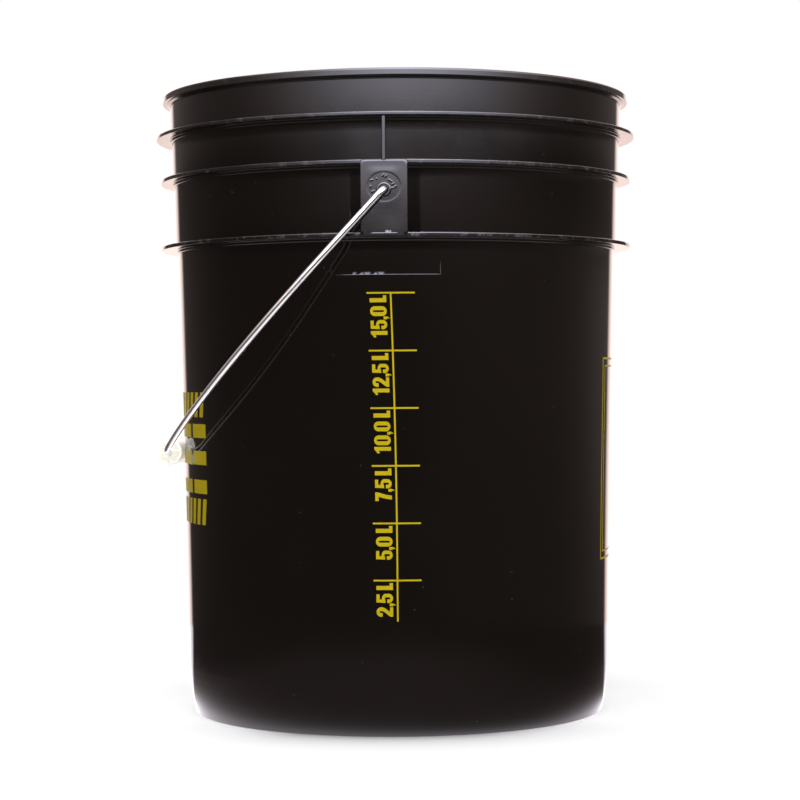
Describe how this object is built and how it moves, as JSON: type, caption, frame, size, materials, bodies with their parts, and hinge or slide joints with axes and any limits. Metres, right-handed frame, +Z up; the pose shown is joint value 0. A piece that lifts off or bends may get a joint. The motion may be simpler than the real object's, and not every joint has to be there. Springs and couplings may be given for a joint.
{
  "type": "wash bucket",
  "caption": "Round tapered wash bucket with a swinging wire bail, a loose barrel grip and printed volume marks.",
  "frame": {"origin": "centre of the foot ring, on the surface that the bucket stands on", "axes": "+Z up along the bucket's axis; the ears and the bail's pivot axis lie along Y; the bail rests toward -X"},
  "size_m": [0.3106, 0.319, 0.3967],
  "materials": {
    "black_shell": "glossy moulded polypropylene",
    "bail_steel": "bright plated wire",
    "natural_grip": "natural translucent polyethylene",
    "yellow_ink": "satin screen ink"
  },
  "bodies": {
    "bucket": {"bucket_shell": "black_shell", "graduation_lines": "yellow_ink", "graduation_numerals": "yellow_ink", "side_stripe_print": "yellow_ink", "side_frame_print": "yellow_ink"},
    "bail": {"bail_wire": "bail_steel"},
    "grip": {"hand_grip": "natural_grip"}
  },
  "joints": [
    {"name": "bail_swing", "type": "hinge", "parent": "bucket", "child": "bail", "pos_m": [0, 0, 0.3248], "axis": [0, 1, 0], "range_deg": [0, 274]},
    {"name": "grip_spin", "type": "hinge", "parent": "bail", "child": "grip", "pos_m": [-0.14659, 0, 0.1676], "axis": [0, 1, 0], "continuous": true}
  ]
}
